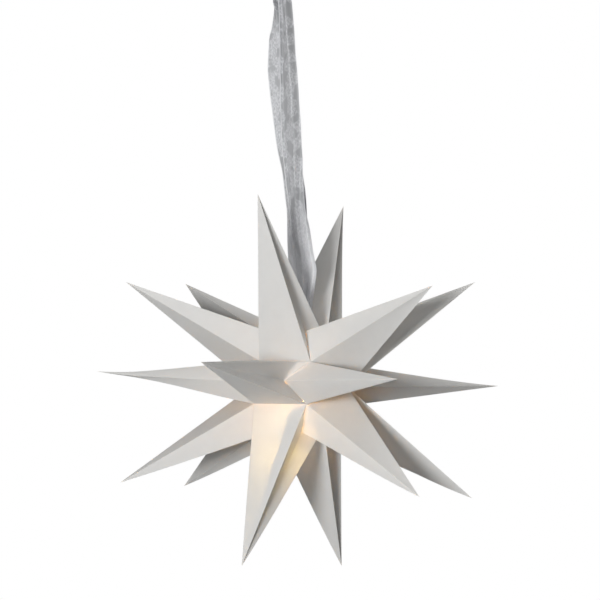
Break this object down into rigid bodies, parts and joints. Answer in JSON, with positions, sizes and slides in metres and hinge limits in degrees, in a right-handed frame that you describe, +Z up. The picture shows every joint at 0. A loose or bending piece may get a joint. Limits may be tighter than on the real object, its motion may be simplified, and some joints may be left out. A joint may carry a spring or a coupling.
{
  "type": "hanging paper star",
  "caption": "Folded paper star lantern with long sharp points, hung by a sheer ribbon loop, with a battery light inside.",
  "frame": {"origin": "the top of the ribbon's loop, where the star hangs", "axes": "+Z up, +X along the star's level axis through its two poles, +Y level and square to that axis"},
  "size_m": [0.4724, 0.6, 0.8598],
  "materials": {
    "star_paper": "matt uncoated white card that lets some light through",
    "ribbon": "sheer silver-grey organza",
    "case_plastic": "white moulded plastic",
    "board": "white circuit board",
    "lamp": "warm white lamp, lit",
    "cover": "frosted cover, lit from inside",
    "cell": "plain dark sleeve"
  },
  "bodies": {
    "root": {"star_sheet_1": "star_paper", "star_sheet_2": "star_paper", "star_sheet_3": "star_paper", "star_sheet_4": "star_paper", "star_sheet_5": "star_paper", "star_sheet_6": "star_paper", "hanging_ribbon": "ribbon", "light_case": "case_plastic", "light_board": "board", "light_lamp": "lamp", "light_cover": "cover", "battery_cell_1": "cell", "battery_cell_2": "cell", "battery_cell_3": "cell"}
  },
  "joints": []
}
